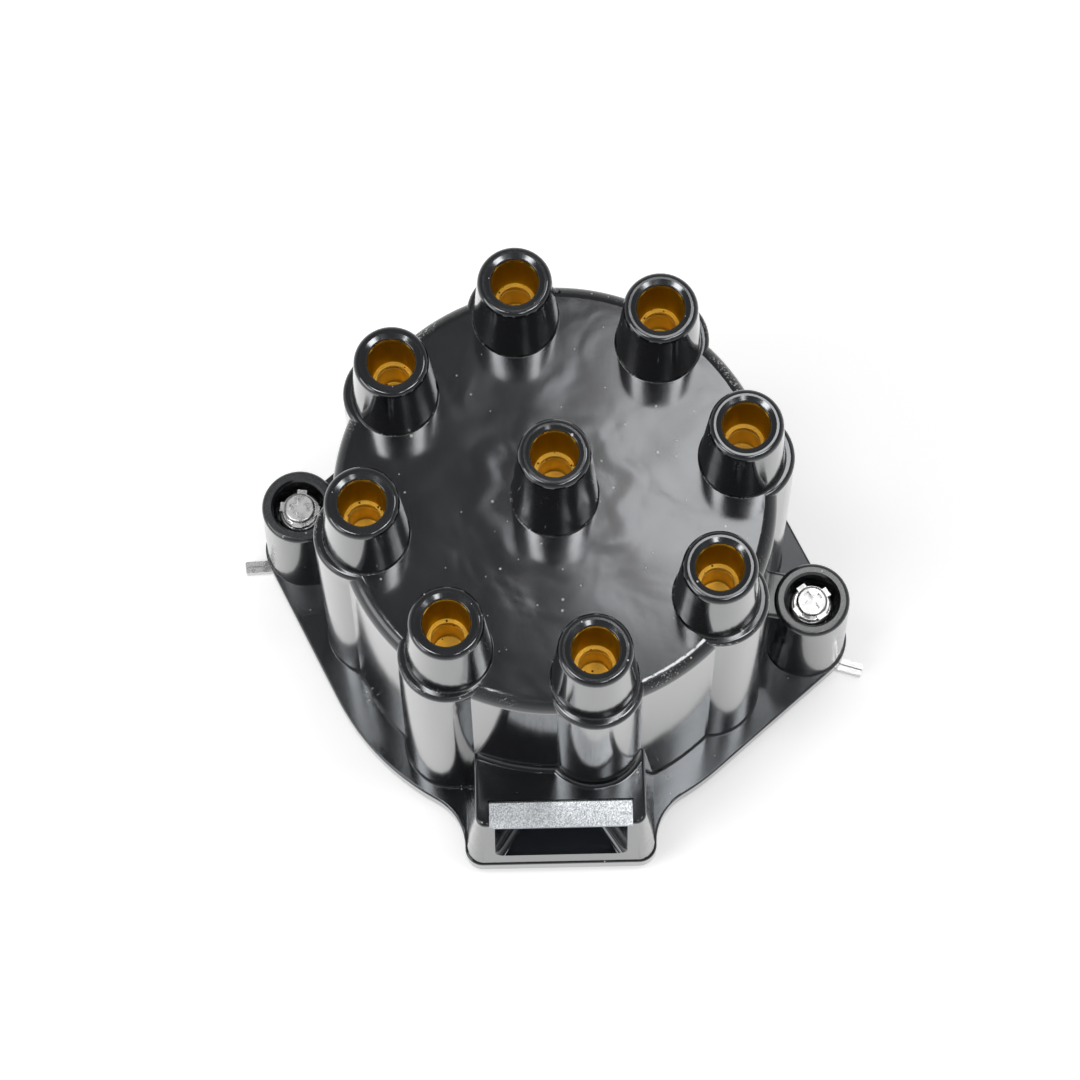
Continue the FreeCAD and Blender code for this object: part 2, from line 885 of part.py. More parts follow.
def make_window_door():
    """Sheet-metal door, bent over at the top into a finger lip."""
    back = -door_back
    low = z_sill - door_below_sill
    lip_low = z_boss + door_lip_clearance
    lip_high = lip_low + door_thickness
    front = back - door_lip_length
    corners = [
        (back, low, 0),
        (back, lip_high, door_outer_round),
        (front, lip_high, 0),
        (front, lip_low, 0),
        (back - door_thickness, lip_low, door_bend_r),
        (back - door_thickness, low, 0),
    ]
    wire = corner_wire(corners, lambda a, b: FreeCAD.Vector(-door_half_width, a, b))
    return Part.Face(wire).extrude(FreeCAD.Vector(2 * door_half_width, 0, 0))


def all_parts():
    """Every piece by name."""
    parts = {"cap_body": make_cap_body()}
    for index in range(tower_count):
        x, y = polar(tower_circle_r, tower_degrees(index))
        parts[f"terminal_{index + 1}"] = make_terminal(x, y)
    parts["centre_terminal"] = make_centre_terminal()
    parts["brush_spring"] = make_brush_spring()
    parts["carbon_brush"] = make_brush()
    parts["window_door"] = make_window_door()
    for side, (x, y), hook_deg, head_deg, offset in latch_places():
        parts[f"latch_screw_{side}"] = make_latch_screw(x, y, head_deg)
        parts[f"latch_washer_{side}"] = make_latch_washer(x, y)
        parts[f"latch_spring_{side}"] = make_latch_spring(x, y)
        parts[f"latch_hook_{side}"] = make_latch_hook(x, y, hook_deg, offset)
    return parts


os.makedirs("parts", exist_ok=True)
for name, shape in all_parts().items():
    shape.exportStep(os.path.join("parts", f"{name}.step"))
    valid = "ok" if shape.isValid() else "BAD"
    print(f"{name}: {valid}, {len(shape.Solids)} solid(s), {shape.Volume:.1f} mm3")
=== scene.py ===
import math

import bpy
from mathutils import Matrix, Vector, noise


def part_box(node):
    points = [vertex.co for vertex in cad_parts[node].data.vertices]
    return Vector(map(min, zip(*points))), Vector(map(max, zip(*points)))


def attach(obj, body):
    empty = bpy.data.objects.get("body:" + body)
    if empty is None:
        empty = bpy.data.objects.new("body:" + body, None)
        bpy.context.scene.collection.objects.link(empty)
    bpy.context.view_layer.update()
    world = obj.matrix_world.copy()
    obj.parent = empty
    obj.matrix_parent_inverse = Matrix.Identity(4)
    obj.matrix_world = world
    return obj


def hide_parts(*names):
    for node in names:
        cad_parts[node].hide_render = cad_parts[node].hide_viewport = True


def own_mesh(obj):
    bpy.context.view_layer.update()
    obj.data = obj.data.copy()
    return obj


# The looks of the ignition distributor cap, in metres: the rotor axis is +Z,
# the window faces -Y, and the cap stands on z = 0.

MM = 0.001

# Levels and places of the moulding, as in the frame
TOWERS = 8
TOWER_PITCH_DEG = 360.0 / TOWERS
FIRST_TOWER_DEG = -79.4
ROOF_TOP = 85.6 * MM
OUTER_RIM = 108.0 * MM
CENTRE_RIM = 115.1 * MM
STEP_DEPTH = 13.5 * MM
LATCH_CIRCLE = 57.64 * MM
LATCH_DEG = {"right": -12.0, "left": 168.0}
POST_TOP = 41.0 * MM

# The tops of the posts and of their webs lie this close to this level
WEB_LEVEL = POST_TOP - 1.0 * MM
WEB_HALF_HEIGHT = 1.4 * MM

# Where one look gives way to the next: both ends of each fade, up the z axis, out
# along x for the posts, and down a lead socket for its step
ROOF_FROM = (ROOF_TOP - 2.0 * MM, ROOF_TOP - 0.5 * MM)
DRUM_EDGE_FROM = (ROOF_TOP - 3.0 * MM, ROOF_TOP - 1.6 * MM)
DRUM_EDGE_TO = (ROOF_TOP + 0.05 * MM, ROOF_TOP + 0.3 * MM)
POST_WALL_FROM_X = (47.0 * MM, 50.0 * MM)
POST_WALL_TO = (POST_TOP, POST_TOP + 1.0 * MM)
FLANGE_AND_BOSS_TO = (38.0 * MM, 39.0 * MM)
# Down a lead socket this fade runs from the painted shade of the upper wall to the painted light
# below its step
SOCKET_STEP_FROM = (STEP_DEPTH - 0.5 * MM, STEP_DEPTH)

# Sink marks in the roof: a scalloped ring round the coil tower, spokes to the other
# towers and slow waves, each with its share of the depth
SINK_DEPTH = 0.085 * MM
RING_R = 15.5 * MM
RING_SCALLOP = 1.3 * MM
RING_REACH = 4.0 * MM
RING_SHARE = 0.55
SPOKES_FROM = (16.0 * MM, 24.0 * MM)
SPOKES_TO = (27.0 * MM, 36.0 * MM)
SPOKE_SHARE = 0.4
WAVE_SHARE = 1.9

# Wire and turns of the coil springs, and how many wires apart their closed turns lie
LATCH_WIRE_R = 0.5 * MM
LATCH_TURNS = 7
BRUSH_WIRE_R = 0.25 * MM
BRUSH_TURNS = 6
COIL_STEPS = 44
COIL_SIDES = 14
CLOSED_PITCH = 1.04

# Flakes of torn flash: place and half sizes in millimetres
FLAKES = {
    "burr_coil_left": ((-6.3, 1.25, 114.72), (0.62, 0.5, 0.34)),
    "burr_coil_right": ((6.25, -1.2, 114.72), (0.6, 0.62, 0.34)),
    "burr_rear_low": ((1.5, 45.1, 85.55), (0.55, 0.4, 0.35)),
    "burr_rear_high": ((2.1, 45.5, 85.5), (0.4, 0.6, 0.45)),
}

# Torn flash on the shoulder of the tower next to the window, in millimetres
TORN_TOWER = 1
TORN_COLUMN_CIRCLE = 41.4
TORN_SHOULDER_R = 10.1
TORN_SHOULDER_TOP = 85.25
TORN_FLAKES = 6
TORN_FROM_DEG = -117.0
TORN_PITCH_DEG = 9.0
TORN_HALF_LENGTH = 0.55
TORN_HALF_WIDTH = 0.2
TORN_HALF_HEIGHTS = (0.14, 0.17, 0.20)

# The photograph's camera
IMAGE_PX = 1080
FOCAL_PX = 4343.8
SENSOR_MM = 36.0
CAMERA_ELEVATION = 73.858
CAMERA_ROLL = -0.886
CAMERA_YAW = -0.39
CAMERA_DISTANCE = 955.758 * MM
CAMERA_TARGET = Vector((-3.25, 1.795, 45.0)) * MM

# The sky fades from the horizon to overhead between these two heights of the view
HORIZON_LIGHT = 1.0
OVERHEAD_LIGHT = 0.34
HORIZON_TO = 0.15
OVERHEAD_FROM = 0.75

# The floor's own light, as the camera sees it and as the part mirrors it
FLOOR_SEEN = 0.42
FLOOR_MIRRORED = 0.35
FLOOR_RADIUS = 4.0
FLOOR_SIDES = 96
FLOOR_LEVEL = -0.05 * MM

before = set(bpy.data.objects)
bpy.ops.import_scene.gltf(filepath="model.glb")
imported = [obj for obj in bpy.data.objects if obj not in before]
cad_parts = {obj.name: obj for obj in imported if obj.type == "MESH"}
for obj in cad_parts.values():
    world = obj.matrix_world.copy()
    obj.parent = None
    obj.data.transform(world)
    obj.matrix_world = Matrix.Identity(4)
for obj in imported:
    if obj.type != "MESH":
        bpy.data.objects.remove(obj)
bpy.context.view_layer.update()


class Nodes:
    """Short calls that add nodes to one material's tree."""

    def __init__(self, name):
        self.material = bpy.data.materials.new(name)
        self.material.use_nodes = True
        self.tree = self.material.node_tree
        self.tree.nodes.clear()
        self.output = self.tree.nodes.new("ShaderNodeOutputMaterial")
        self.place = self.add("ShaderNodeTexCoord").outputs["Object"]

    def add(self, kind, inputs=None, **settings):
        node = self.tree.nodes.new(kind)
        for key, value in settings.items():
            setattr(node, key, value)
        for key, value in (inputs or {}).items():
            self.feed(node.inputs[key], value)
        return node

    def feed(self, socket, value):
        if isinstance(value, bpy.types.NodeSocket):
            self.tree.links.new(value, socket)
        else:
            socket.default_value = value

    def math(self, operation, a, b=0.0, c=0.0):
        node = self.add("ShaderNodeMath", operation=operation)
        for socket, value in zip(node.inputs, (a, b, c)):
            self.feed(socket, value)
        return node.outputs[0]

    def split(self, vector):
        node = self.add("ShaderNodeSeparateXYZ", {"Vector": vector})
        return node.outputs["X"], node.outputs["Y"], node.outputs["Z"]

    def upward(self):
        """1 where the surface faces up, 0 on a wall and -1 where it faces down."""
        _, _, up = self.split(self.add("ShaderNodeNewGeometry").outputs["Normal"])
        return up

    def scaled(self, x, y, z):
        node = self.add("ShaderNodeMapping", {"Vector": self.place, "Scale": (x, y, z)})
        return node.outputs["Vector"]

    def noise(self, scale, detail, roughness=0.5, vector=None, distortion=0.0):
        node = self.add("ShaderNodeTexNoise", {
            "Vector": vector or self.place,
            "Scale": scale,
            "Detail": detail,
            "Roughness": roughness,
            "Distortion": distortion,
        })
        return node.outputs["Fac"]

    def cells(self, scale, output="Distance"):
        node = self.add("ShaderNodeTexVoronoi", {"Vector": self.place, "Scale": scale})
        return node.outputs[output]

    def span(self, value, low, high, to_low=0.0, to_high=1.0, smooth=True):
        kind = "SMOOTHSTEP" if smooth else "LINEAR"
        node = self.add("ShaderNodeMapRange", {
            "Value": value,
            "From Min": low,
            "From Max": high,
            "To Min": to_low,
            "To Max": to_high,
        }, interpolation_type=kind)
        return node.outputs["Result"]

    def blend(self, factor, a, b):
        # A mix node has sockets of one name for each kind of value: 6 and 7 take the
        # two colours, and 2 gives their mix
        node = self.add("ShaderNodeMix", data_type="RGBA", blend_type="MIX")
        self.feed(node.inputs["Factor"], factor)
        self.feed(node.inputs[6], a)
        self.feed(node.inputs[7], b)
        return node.outputs[2]

    def bump(self, height, distance, normal=None):
        node = self.add("ShaderNodeBump", {
            "Height": height,
            "Distance": distance,
            "Strength": 1.0,
        })
        if normal:
            self.feed(node.inputs["Normal"], normal)
        return node.outputs["Normal"]

    def surface(self, **sockets):
        names = {key.replace("_", " "): value for key, value in sockets.items()}
        shader = self.add("ShaderNodeBsdfPrincipled", names)
        self.tree.links.new(shader.outputs[0], self.output.inputs["Surface"])
        return self.material


def rgb(red, green, blue):
    return red, green, blue, 1.0


def roof_relief(n, x, y):
    """Sink marks in the roof: a scalloped ring, spokes and slow waves."""
    square = n.math("ADD", n.math("MULTIPLY", x, x), n.math("MULTIPLY", y, y))
    radius = n.math("SQRT", square)
    turn = n.math("SUBTRACT", n.math("ARCTAN2", y, x), math.radians(FIRST_TOWER_DEG))
    petals = n.math("COSINE", n.math("MULTIPLY", turn, float(TOWERS)))
    ring_r = n.math("MULTIPLY_ADD", petals, RING_SCALLOP, RING_R)
    off_ring = n.math("ABSOLUTE", n.math("SUBTRACT", radius, ring_r))
    ring = n.span(off_ring, 0.0, RING_REACH, 1.0, 0.0)
    reach = n.math(
        "MULTIPLY",
        n.span(radius, *SPOKES_FROM),
        n.span(radius, *SPOKES_TO, 1.0, 0.0),
    )
    spokes = n.math("MULTIPLY", petals, reach)
    waves = n.noise(68.0, detail=2.0, roughness=0.45, distortion=0.5)
    marks = n.math(
        "ADD",
        n.math("MULTIPLY", ring, RING_SHARE),
        n.math("MULTIPLY", spokes, SPOKE_SHARE),
    )
    return n.math("MULTIPLY_ADD", waves, WAVE_SHARE, marks)


def drum_edge(n, z, up):
    """1 on the rounded edge of the drum's top, 0 elsewhere."""
    tilted = n.math("MULTIPLY", n.span(up, 0.35, 0.7), n.span(up, 0.93, 0.995, 1.0, 0.0))
    level = n.math(
        "MULTIPLY",
        n.span(z, *DRUM_EDGE_FROM),
        n.span(z, *DRUM_EDGE_TO, 1.0, 0.0),
    )
    return n.math("MULTIPLY", tilted, level)


def scuffs_and_glints(n, edge):
    """Pale scuff marks along the drum's edge: partly real wear, partly painted glints."""
    patch = n.span(n.noise(70.0, detail=2.0), 0.46, 0.62)
    nicks_and_glints = n.math("GREATER_THAN", n.noise(2300.0, detail=3.0, roughness=0.65), 0.60)
    return n.math("MULTIPLY", edge, n.math("MULTIPLY", patch, nicks_and_glints))


def dust(n, up):
    """Bright specks of dust, a few of them larger, mostly on faces that look up."""
    size = n.span(n.noise(170.0, detail=1.0), 0.42, 0.72, 0.040, 0.105)
    dots = n.math("LESS_THAN", n.cells(330.0), size)
    chosen = n.math("GREATER_THAN", n.noise(90.0, detail=1.0), 0.40)
    facing = n.span(up, 0.3, 0.8, 0.1, 1.0)
    return n.math("MULTIPLY", n.math("MULTIPLY", dots, chosen), facing)


def moulding_material():
    """Glossy black phenolic: sink marks in the roof, orange peel, dust, and pale scuff marks on
    the drum's edge that are partly painted glints.
    """
    n = Nodes("black_moulding")
    x, y, z = n.split(n.place)
    up = n.upward()
    on_roof = n.math("MULTIPLY", n.span(up, 0.93, 0.99), n.span(z, *ROOF_FROM))
    # The tops of the posts and their webs came rougher from the mould than the roof
    off_web = n.math("ABSOLUTE", n.math("SUBTRACT", z, WEB_LEVEL))
    on_post = n.math(
        "MULTIPLY",
        n.span(up, 0.75, 0.95),
        n.math("LESS_THAN", off_web, WEB_HALF_HEIGHT),
    )
    normal = n.bump(n.math("MULTIPLY", roof_relief(n, x, y), on_roof), SINK_DEPTH)
    normal = n.bump(n.noise(900.0, detail=2.0, roughness=0.5), 0.003 * MM, normal)
    grain = n.noise(3600.0, detail=3.0, roughness=0.7)
    depth = n.math("MULTIPLY_ADD", on_post, 4.0, 1.0)
    normal = n.bump(n.math("MULTIPLY", grain, depth), 0.0022 * MM, normal)
    edge = drum_edge(n, z, up)
    specks = dust(n, up)
    nicks_and_glints = scuffs_and_glints(n, edge)
    haze = n.span(n.noise(38.0, detail=4.0, roughness=0.6), 0.35, 0.75)
    tone = n.blend(haze, rgb(0.0030, 0.0032, 0.0040), rgb(0.0052, 0.0054, 0.0066))
    post_grain = n.math("MULTIPLY", on_post, n.span(grain, 0.45, 0.7))
    tone = n.blend(post_grain, tone, rgb(0.05, 0.05, 0.05))
    tone = n.blend(specks, tone, rgb(0.62, 0.61, 0.58))
    # Partly painted glints: pale grey on the scuff marks of the drum's edge, which are also real
    # wear
    colour = n.blend(nicks_and_glints, tone, rgb(0.55, 0.55, 0.55))
    dust_and_scuff_glints = n.math("MAXIMUM", specks, nicks_and_glints)
    rough = n.math("ADD", n.span(haze, 0.0, 1.0, 0.11, 0.15), n.math("MULTIPLY", dust_and_scuff_glints, 0.5))
    rough = n.math("MULTIPLY_ADD", on_post, 0.22, rough)
    post_wall = n.math(
        "MULTIPLY",
        n.span(n.math("ABSOLUTE", x), *POST_WALL_FROM_X),
        n.span(z, *POST_WALL_TO, 1.0, 0.0),
    )
    rough = n.math("MULTIPLY_ADD", post_wall, 0.12, rough)
    rough = n.math("MULTIPLY_ADD", edge, 0.3, rough)
    # The flange and the top of the boss are duller than the roof
    dull = n.math(
        "MULTIPLY",
        n.span(up, 0.8, 0.95),
        n.span(z, *FLANGE_AND_BOSS_TO, 1.0, 0.0),
    )
    return n.surface(
        Base_Color=colour,
        Roughness=rough,
        Normal=normal,
        IOR=1.55,
        Specular_Tint=rgb(0.90, 0.95, 1.0),
        Coat_Weight=n.span(dull, 0.0, 1.0, 0.9, 0.1, smooth=False),
        Coat_Roughness=0.10,
        Coat_IOR=1.5,
    )


def torn_material():
    """Moulding that whitened where its flash was torn off."""
    n = Nodes("torn_moulding")
    fibre = n.noise(2600.0, detail=3.0, roughness=0.7)
    colour = n.blend(n.span(fibre, 0.4, 0.6), rgb(0.10, 0.10, 0.10), rgb(0.62, 0.61, 0.59))
    return n.surface(Base_Color=colour, Roughness=0.6, Normal=n.bump(fibre, 0.02 * MM))


def brass_material(name, rim):
    """Turned brass with blotchy stains. The socket's upper wall is painted darker as shade, and
    its lower wall, step and floor are painted brighter as light.
    """
    n = Nodes(name)
    _, _, z = n.split(n.place)
    depth = n.math("SUBTRACT", rim, z)
    stain = n.noise(220.0, detail=4.0, roughness=0.6, vector=n.scaled(1.0, 1.0, 0.35))
    rings = n.noise(1.0, detail=2.0, roughness=0.6, vector=n.scaled(60.0, 60.0, 5200.0))
    # Painted shade on the socket's upper wall and painted light on its lower wall, each with
    # blotchy stains
    shaded_upper_wall = n.blend(stain, rgb(0.30, 0.225, 0.015), rgb(0.42, 0.315, 0.030))
    lit_lower_wall = n.blend(stain, rgb(0.94, 0.76, 0.24), rgb(0.99, 0.84, 0.34))
    wall = n.blend(n.span(depth, *SOCKET_STEP_FROM), shaded_upper_wall, lit_lower_wall)
    flat = n.span(n.math("ABSOLUTE", n.upward()), 0.6, 0.9)
    # Painted light: the step and floor of the socket get a brighter brass than the walls
    bright = n.blend(stain, rgb(0.84, 0.50, 0.07), rgb(0.96, 0.64, 0.14))
    metal = n.blend(flat, wall, bright)
    pits = n.math("MULTIPLY", n.math("LESS_THAN", n.cells(650.0), 0.16), flat)
    colour = n.blend(pits, metal, rgb(0.12, 0.07, 0.02))
    rough = n.math("ADD", n.span(stain, 0.3, 0.7, 0.42, 0.52), n.math("MULTIPLY", pits, 0.3))
    normal = n.bump(rings, 0.003 * MM)
    normal = n.bump(n.noise(1900.0, detail=3.0, roughness=0.6), 0.002 * MM, normal)
    return n.surface(
        Base_Color=colour,
        Metallic=1.0,
        Roughness=rough,
        Normal=normal,
        Specular_Tint=rgb(1.0, 0.72, 0.25),
    )


def door_material():
    """Galvanised sheet: fine grey flecks under a brushed grain. The upright faces in the recess
    are painted darker as shade, with the lip faces lighter.
    """
    n = Nodes("door_steel")
    flecks = n.cells(5200.0, output="Color")
    fleck = n.add("ShaderNodeRGBToBW", {"Color": flecks}).outputs[0]
    grain = n.noise(1.0, detail=3.0, roughness=0.7, vector=n.scaled(4200.0, 700.0, 700.0))
    mixed = n.math("ADD", n.math("MULTIPLY", fleck, 0.5), n.math("MULTIPLY", grain, 0.5))
    speckle = n.span(mixed, 0.3, 0.7)
    lip = n.blend(speckle, rgb(0.29, 0.305, 0.32), rgb(0.76, 0.785, 0.81))
    # Painted shade: the upright faces of the door get a darker, bluer steel than the lip
    shaded_panel = n.blend(speckle, rgb(0.17, 0.21, 0.26), rgb(0.50, 0.55, 0.61))
    colour = n.blend(n.span(n.math("ABSOLUTE", n.upward()), 0.3, 0.7), shaded_panel, lip)
    rough = n.span(mixed, 0.2, 0.8, 0.40, 0.26)
    normal = n.bump(grain, 0.006 * MM)
    normal = n.bump(fleck, 0.003 * MM, normal)
    return n.surface(Base_Color=colour, Metallic=1.0, Roughness=rough, Normal=normal)


def zinc_material():
    """Bright zinc plate, faintly cloudy and finely scratched."""
    n = Nodes("zinc_plate")
    cloud = n.noise(300.0, detail=4.0, roughness=0.6)
    scratch = n.noise(1.0, detail=2.0, roughness=0.6, vector=n.scaled(3800.0, 420.0, 420.0))
    colour = n.blend(cloud, rgb(0.50, 0.505, 0.51), rgb(0.76, 0.76, 0.75))
    rough = n.span(cloud, 0.3, 0.7, 0.2, 0.36)
    normal = n.bump(scratch, 0.005 * MM)
    normal = n.bump(n.noise(1500.0, detail=3.0, roughness=0.6), 0.006 * MM, normal)
    return n.surface(Base_Color=colour, Metallic=1.0, Roughness=rough, Normal=normal)


def wire_material():
    """Plated spring wire with drawn lines."""
    n = Nodes("spring_steel")
    cloud = n.noise(700.0, detail=3.0, roughness=0.6)
    colour = n.blend(cloud, rgb(0.46, 0.46, 0.47), rgb(0.68, 0.68, 0.69))
    rough = n.span(cloud, 0.3, 0.7, 0.25, 0.42)
    normal = n.bump(n.noise(3200.0, detail=2.0), 0.004 * MM)
    return n.surface(Base_Color=colour, Metallic=1.0, Roughness=rough, Normal=normal)


def carbon_material():
    """Pressed carbon: matt, with a burnished grain."""
    n = Nodes("carbon")
    grain = n.noise(1600.0, detail=4.0, roughness=0.7)
    colour = n.blend(grain, rgb(0.020, 0.020, 0.021), rgb(0.055, 0.054, 0.052))
    rough = n.span(grain, 0.3, 0.7, 0.45, 0.62)
    return n.surface(Base_Color=colour, Roughness=rough, Normal=n.bump(grain, 0.01 * MM))


def dress(node, material):
    """Gives a CAD node its material and smooth shading."""
    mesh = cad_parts[node].data
    mesh.materials.clear()
    mesh.materials.append(material)
    mesh.polygons.foreach_set("use_smooth", [True] * len(mesh.polygons))
    mesh.update()


def mesh_object(name, points, faces, material):
    """A new piece from points and faces, shaded smooth."""
    mesh = bpy.data.meshes.new(name)
    mesh.from_pydata([tuple(point) for point in points], [], faces)
    mesh.polygons.foreach_set("use_smooth", [True] * len(mesh.polygons))
    mesh.materials.append(material)
    mesh.update()
    made = bpy.data.objects.new(name, mesh)
    bpy.context.scene.collection.objects.link(made)
    return made


def coil_points(low, high, wire, mean, turns):
    """Centre line of a coil whose end turns lie closed."""
    closed = 2 * wire * CLOSED_PITCH
    points = []
    for index in range(turns * COIL_STEPS + 1):
        turn = index / COIL_STEPS
        if turn < 1:
            lift = closed * turn
        elif turn > turns - 1:
            lift = (high - low) - closed * (turns - turn)
        else:
            share = (turn - 1) / (turns - 2)
            lift = closed + (high - low - 2 * closed) * share
        angle = 2 * math.pi * turn
        points.append(Vector((mean * math.cos(angle), mean * math.sin(angle), low + lift)))
    return points


def coil_spring(name, node, x, y, wire, turns, material):
    """A round-wire coil in the place of a CAD spring."""
    lowest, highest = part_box(node)
    mean = (highest.x - lowest.x) / 2 - wire
    path = coil_points(lowest.z + wire, highest.z - wire, wire, mean, turns)
    points = []
    for index, centre in enumerate(path):
        ahead = path[min(index + 1, len(path) - 1)] - path[max(index - 1, 0)]
        outward = Vector((centre.x, centre.y, 0)).normalized()
        along = ahead.normalized()
        upward = along.cross(outward).normalized()
        for side in range(COIL_SIDES):
            angle = 2 * math.pi * side / COIL_SIDES
            ring = outward * math.cos(angle) + upward * math.sin(angle)
            points.append(centre + ring * wire + Vector((x, y, 0)))
    faces = []
    for index in range(len(path) - 1):
        for side in range(COIL_SIDES):
            a = index * COIL_SIDES + side
            b = index * COIL_SIDES + (side + 1) % COIL_SIDES
            faces.append((a, a + COIL_SIDES, b + COIL_SIDES, b))
    faces.append(tuple(range(COIL_SIDES)))
    last = (len(path) - 1) * COIL_SIDES
    faces.append(tuple(last + side for side in reversed(range(COIL_SIDES))))
    return mesh_object(name, points, faces, material)


def burr(name, place, size, seed, material):
    """A torn flake of moulding flash, a lumpy closed shell."""
    rings = 7
    sides = 10
    lump_scale = 1.7
    mean_swell = 0.72
    lump_height = 0.55
    points = [Vector((0, 0, -1))]
    for ring in range(1, rings):
        tilt = math.pi * ring / rings
        for side in range(sides):
            angle = 2 * math.pi * side / sides
            points.append(Vector((
                math.sin(tilt) * math.cos(angle),
                math.sin(tilt) * math.sin(angle),
                -math.cos(tilt),
            )))
    points.append(Vector((0, 0, 1)))
    shift = Vector((seed * 3.1, seed * 1.7, seed * 0.9))
    for index, point in enumerate(points):
        swell = mean_swell + lump_height * noise.noise(point * lump_scale + shift)
        points[index] = Vector(tuple(a * b * swell for a, b in zip(point, size))) + place
    faces = []
    for side in range(sides):
        after = (side + 1) % sides
        faces.append((0, 1 + after, 1 + side))
        last = 1 + (rings - 2) * sides
        faces.append((len(points) - 1, last + side, last + after))
        for ring in range(rings - 2):
            a = 1 + ring * sides
            faces.append((a + side, a + after, a + sides + after, a + sides + side))
    return mesh_object(name, points, faces, material)


def add_camera():
    """Camera where the photograph was taken from."""
    tilt = math.radians(CAMERA_ELEVATION)
    back = Vector((0, -math.cos(tilt), math.sin(tilt)))
    right = Vector((1, 0, 0))
    up = back.cross(right)
    roll = math.radians(CAMERA_ROLL)
    turned_right = right * math.cos(roll) + up * math.sin(roll)
    turned_up = up * math.cos(roll) - right * math.sin(roll)
    axes = Matrix((turned_right, turned_up, back)).transposed()
    place = Matrix.Translation(CAMERA_TARGET + back * CAMERA_DISTANCE) @ axes.to_4x4()
    data = bpy.data.cameras.new("camera")
    data.sensor_width = SENSOR_MM
    data.lens = FOCAL_PX / IMAGE_PX * SENSOR_MM
    data.clip_start = 0.05
    data.clip_end = 30.0
    camera = bpy.data.objects.new("camera", data)
    camera.matrix_world = Matrix.Rotation(math.radians(CAMERA_YAW), 4, "Z") @ place
    bpy.context.scene.collection.objects.link(camera)
    bpy.context.scene.camera = camera


def add_softbox(name, place, target, width, depth, watts):
    """Rectangular soft light that looks at a target."""
    data = bpy.data.lights.new(name, "AREA")
    data.shape = "RECTANGLE"
    data.size = width
    data.size_y = depth
    data.energy = watts
    lamp = bpy.data.objects.new(name, data)
    lamp.location = place
    lamp.rotation_mode = "QUATERNION"
    lamp.rotation_quaternion = (Vector(target) - Vector(place)).to_track_quat("-Z", "Y")
    bpy.context.scene.collection.objects.link(lamp)


def add_lamps():
    """Lamps round the part, none of them where the roof would mirror it to a camera straight
    above.
    """
    # Far behind and to the right: the pale sheen on the right half of the roof
    add_softbox(
        "key", place=(0.235, 0.46, 1.585), target=(0.235, 0.46, 0.0),
        width=0.40, depth=0.19, watts=1.35,
    )
    # Either side of overhead: light that reaches the bottom of the brass sockets
    for name, x in (("top_right", 0.36), ("top_left", -0.36)):
        add_softbox(
            name, place=(x, -0.06, 1.56), target=(0.0, 0.0, 0.0),
            width=0.22, depth=0.34, watts=2.9,
        )
    # Weak, in front and to the right: the rims and the lip of the door
    add_softbox(
        "front", place=(0.20, -0.40, 1.50), target=(0.0, 0.0, 0.08),
        width=0.12, depth=0.20, watts=0.8,
    )
    # Low and large on the left: the left walls
    add_softbox(
        "fill_left", place=(-1.3, -0.6, 1.1), target=(0.0, 0.0, 0.05),
        width=0.9, depth=0.9, watts=9.0,
    )


def add_floor():
    """White sweep under the part, which stays white to the camera and keeps its shadow."""
    n = Nodes("floor_white")
    ray = n.add("ShaderNodeLightPath")
    mirrored = n.math("MULTIPLY", ray.outputs["Is Glossy Ray"], FLOOR_MIRRORED)
    glow = n.math("MULTIPLY_ADD", ray.outputs["Is Camera Ray"], FLOOR_SEEN, mirrored)
    paper = n.noise(12.0, detail=3.0)
    tint = n.blend(paper, rgb(0.90, 0.90, 0.90), rgb(0.92, 0.92, 0.92))
    diffuse = n.add("ShaderNodeBsdfDiffuse", {"Color": tint})
    lift = n.add("ShaderNodeEmission", {"Color": rgb(1, 1, 1), "Strength": glow})
    both = n.add("ShaderNodeAddShader")
    n.tree.links.new(diffuse.outputs[0], both.inputs[0])
    n.tree.links.new(lift.outputs[0], both.inputs[1])
    n.tree.links.new(both.outputs[0], n.output.inputs["Surface"])
    rim = []
    for side in range(FLOOR_SIDES):
        angle = 2 * math.pi * side / FLOOR_SIDES
        rim.append((FLOOR_RADIUS * math.cos(angle), FLOOR_RADIUS * math.sin(angle), FLOOR_LEVEL))
    mesh_object("floor", rim, [tuple(range(FLOOR_SIDES))], n.material)


def add_world():
    """Pale studio: white at the horizon and to the camera, grey overhead."""
    world = bpy.data.worlds.new("studio")
    bpy.context.scene.world = world
    world.use_nodes = True
    tree = world.node_tree
    tree.nodes.clear()
    output = tree.nodes.new("ShaderNodeOutputWorld")
    background = tree.nodes.new("ShaderNodeBackground")
    place = tree.nodes.new("ShaderNodeTexCoord")
    split = tree.nodes.new("ShaderNodeSeparateXYZ")
    fade = tree.nodes.new("ShaderNodeMapRange")
    fade.inputs["From Min"].default_value = HORIZON_TO
    fade.inputs["From Max"].default_value = OVERHEAD_FROM
    fade.inputs["To Min"].default_value = HORIZON_LIGHT
    fade.inputs["To Max"].default_value = OVERHEAD_LIGHT
    ray = tree.nodes.new("ShaderNodeLightPath")
    level = tree.nodes.new("ShaderNodeMath")
    level.operation = "MAXIMUM"
    tree.links.new(place.outputs["Generated"], split.inputs[0])
    tree.links.new(split.outputs["Z"], fade.inputs["Value"])
    tree.links.new(fade.outputs[0], level.inputs[0])
    tree.links.new(ray.outputs["Is Camera Ray"], level.inputs[1])
    tree.links.new(level.outputs[0], background.inputs["Strength"])
    tree.links.new(background.outputs[0], output.inputs["Surface"])


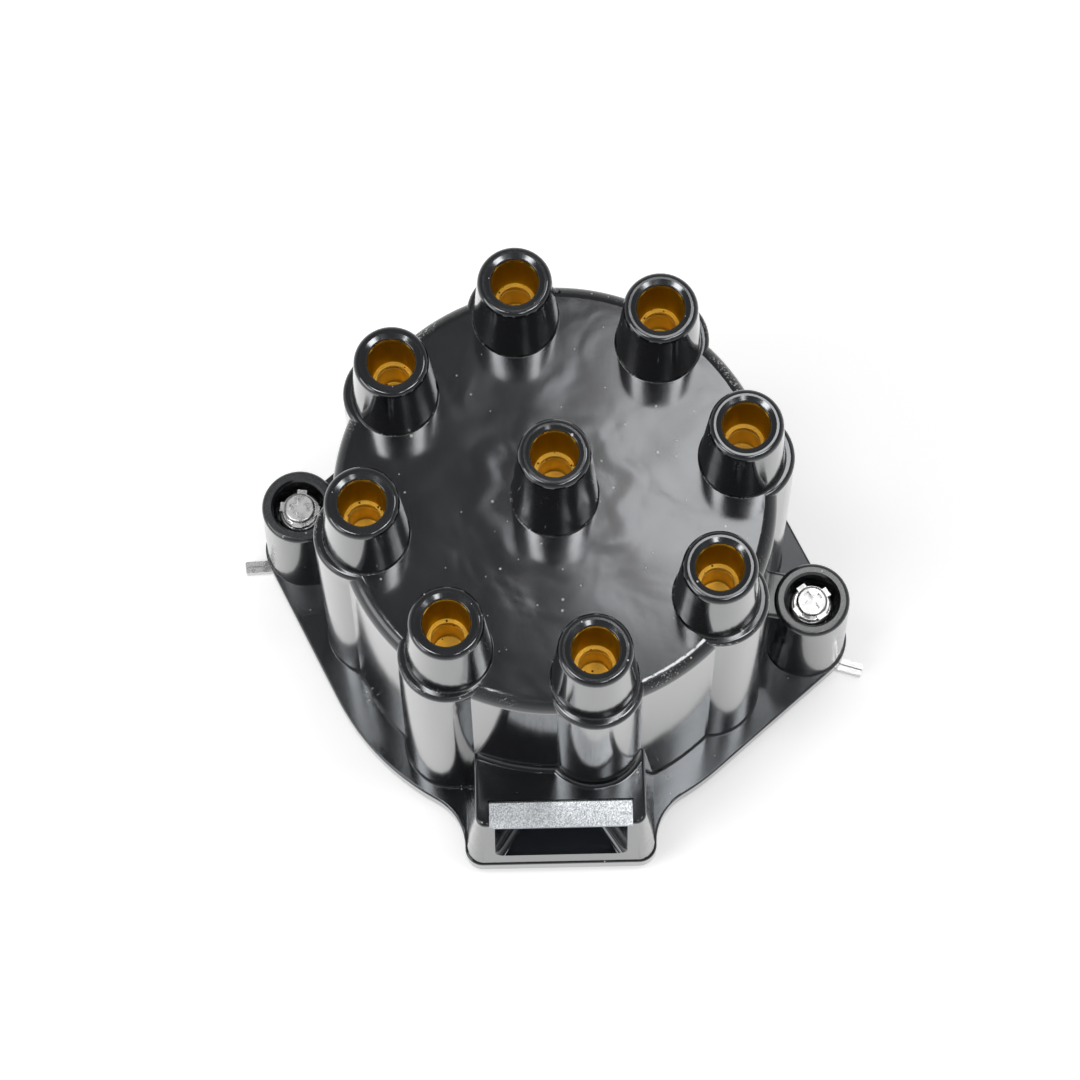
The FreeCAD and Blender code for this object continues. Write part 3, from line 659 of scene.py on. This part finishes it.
def dress_cad_nodes():
    """Materials for every CAD node that shows. Returns the one of the moulding."""
    brass = brass_material("brass_lead_terminals", OUTER_RIM)
    materials = {
        "cap_body": moulding_material(),
        "centre_terminal": brass_material("brass_coil_terminal", CENTRE_RIM),
        "window_door": door_material(),
        "carbon_brush": carbon_material(),
    }
    zinc = zinc_material()
    for index in range(TOWERS):
        materials[f"terminal_{index + 1}"] = brass
    for side in LATCH_DEG:
        for part in ("screw", "washer", "hook"):
            materials[f"latch_{part}_{side}"] = zinc
    for node, material in materials.items():
        dress(node, material)
    return materials["cap_body"]


def add_spring(node, place, wire_r, turns, body, material):
    """One coil in the place of a CAD spring, parented to the empty of the given body."""
    spring = coil_spring(f"coil_{node}", node, place[0], place[1], wire_r, turns, material)
    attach(spring, body)
    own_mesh(spring)
    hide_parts(node)


def add_springs():
    """Real coils for the CAD springs."""
    wire = wire_material()
    for side, degrees in LATCH_DEG.items():
        angle = math.radians(degrees)
        place = (LATCH_CIRCLE * math.cos(angle), LATCH_CIRCLE * math.sin(angle))
        add_spring(
            f"latch_spring_{side}", place, LATCH_WIRE_R, LATCH_TURNS,
            f"latch_plunger_{side}", wire,
        )
    add_spring(
        "brush_spring", (0.0, 0.0), BRUSH_WIRE_R, BRUSH_TURNS,
        "brush", wire,
    )


def add_flake(name, place, size, seed, material):
    """One flake of flash on the moulding, placed and sized in millimetres."""
    flake = burr(name, Vector(place) * MM, [value * MM for value in size], seed, material)
    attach(flake, "cap")


def add_burrs(black):
    """Torn flash on the coil tower's rim, beside the rear tower and on one tower's shoulder."""
    for seed, (name, (place, size)) in enumerate(FLAKES.items(), start=1):
        add_flake(name, place, size, seed, black)
    torn = torn_material()
    column = math.radians(FIRST_TOWER_DEG + TORN_TOWER * TOWER_PITCH_DEG)
    for step in range(TORN_FLAKES):
        aim = math.radians(TORN_FROM_DEG + step * TORN_PITCH_DEG)
        x = TORN_COLUMN_CIRCLE * math.cos(column) + TORN_SHOULDER_R * math.cos(aim)
        y = TORN_COLUMN_CIRCLE * math.sin(column) + TORN_SHOULDER_R * math.sin(aim)
        half_height = TORN_HALF_HEIGHTS[step % len(TORN_HALF_HEIGHTS)]
        size = (TORN_HALF_LENGTH, TORN_HALF_WIDTH, half_height)
        seed = len(FLAKES) + 1 + step
        add_flake(f"torn_edge_{step + 1}", (x, y, TORN_SHOULDER_TOP), size, seed, torn)


scene = bpy.context.scene
scene.view_settings.view_transform = "Standard"
add_camera()
add_world()
add_floor()
add_lamps()
black_moulding = dress_cad_nodes()
add_springs()
add_burrs(black_moulding)
